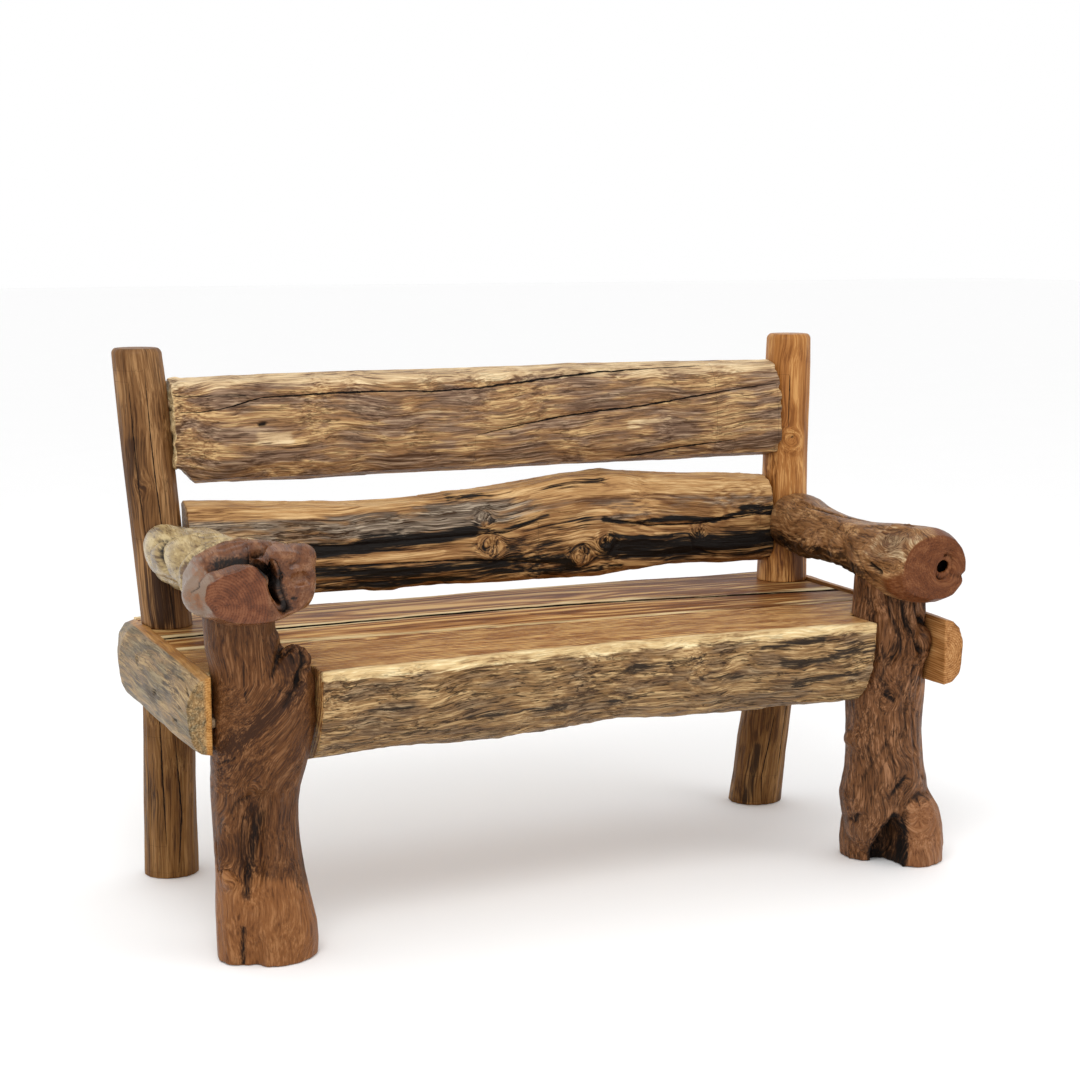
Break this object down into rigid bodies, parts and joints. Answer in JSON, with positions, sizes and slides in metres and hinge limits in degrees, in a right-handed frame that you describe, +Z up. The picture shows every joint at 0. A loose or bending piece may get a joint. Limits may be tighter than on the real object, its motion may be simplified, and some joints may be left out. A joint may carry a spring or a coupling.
{
  "type": "garden bench",
  "caption": "Rustic garden bench of split logs and root wood: slab seat on root-stump front legs and round rear legs, log arms, leaning round posts with two half-log back slabs.",
  "frame": {"origin": "middle of the bench's overall footprint, on the floor", "axes": "+X to the right seen from the front, +Y to the rear, +Z up; the seat faces -Y"},
  "size_m": [1.3762, 0.619, 0.915],
  "materials": {
    "root_wood": "polished root wood, red-brown with swirling grain, dark hollows and pale sawn ends",
    "leg_wood": "peeled pole, satin, brown with dark drying cracks",
    "post_wood": "peeled and sanded pole, golden brown satin",
    "rail_wood": "split pole, olive-grey weathered outside, orange-brown sawn faces, satin",
    "seat_wood": "sawn and sanded heartwood with pale sapwood edges, satin sheen",
    "upper_back_wood": "weathered grey-brown with yellow streaks and long cracks, satin",
    "lower_back_wood": "orange-brown with grey and charred black bands and knots, satin",
    "bearer_wood": "sawn, unfinished",
    "dowel_wood": "turned, unfinished",
    "screw_steel": "plain steel"
  },
  "bodies": {
    "root": {"front_leg_left": "root_wood", "rear_leg_left": "leg_wood", "back_post_left": "post_wood", "arm_left": "root_wood", "side_rail_left": "rail_wood", "arm_dowel_left": "dowel_wood", "slab_dowel_left": "dowel_wood", "rail_dowel_left_front": "dowel_wood", "rail_dowel_left_rear": "dowel_wood", "back_dowel_left_1": "dowel_wood", "back_dowel_left_2": "dowel_wood", "back_dowel_left_3": "dowel_wood", "back_dowel_left_4": "dowel_wood", "front_leg_right": "root_wood", "rear_leg_right": "leg_wood", "back_post_right": "post_wood", "arm_right": "root_wood", "side_rail_right": "rail_wood", "arm_dowel_right": "dowel_wood", "slab_dowel_right": "dowel_wood", "rail_dowel_right_front": "dowel_wood", "rail_dowel_right_rear": "dowel_wood", "back_dowel_right_1": "dowel_wood", "back_dowel_right_2": "dowel_wood", "back_dowel_right_3": "dowel_wood", "back_dowel_right_4": "dowel_wood", "seat_slab_front": "seat_wood", "seat_plank_middle": "seat_wood", "seat_plank_rear": "seat_wood", "back_slab_upper": "upper_back_wood", "back_slab_lower": "lower_back_wood", "seat_bearer_left": "bearer_wood", "seat_bearer_centre": "bearer_wood", "seat_bearer_right": "bearer_wood", "seat_screw_1": "screw_steel", "seat_screw_2": "screw_steel", "seat_screw_3": "screw_steel", "seat_screw_4": "screw_steel", "seat_screw_5": "screw_steel", "seat_screw_6": "screw_steel", "seat_screw_7": "screw_steel", "seat_screw_8": "screw_steel"}
  },
  "joints": []
}
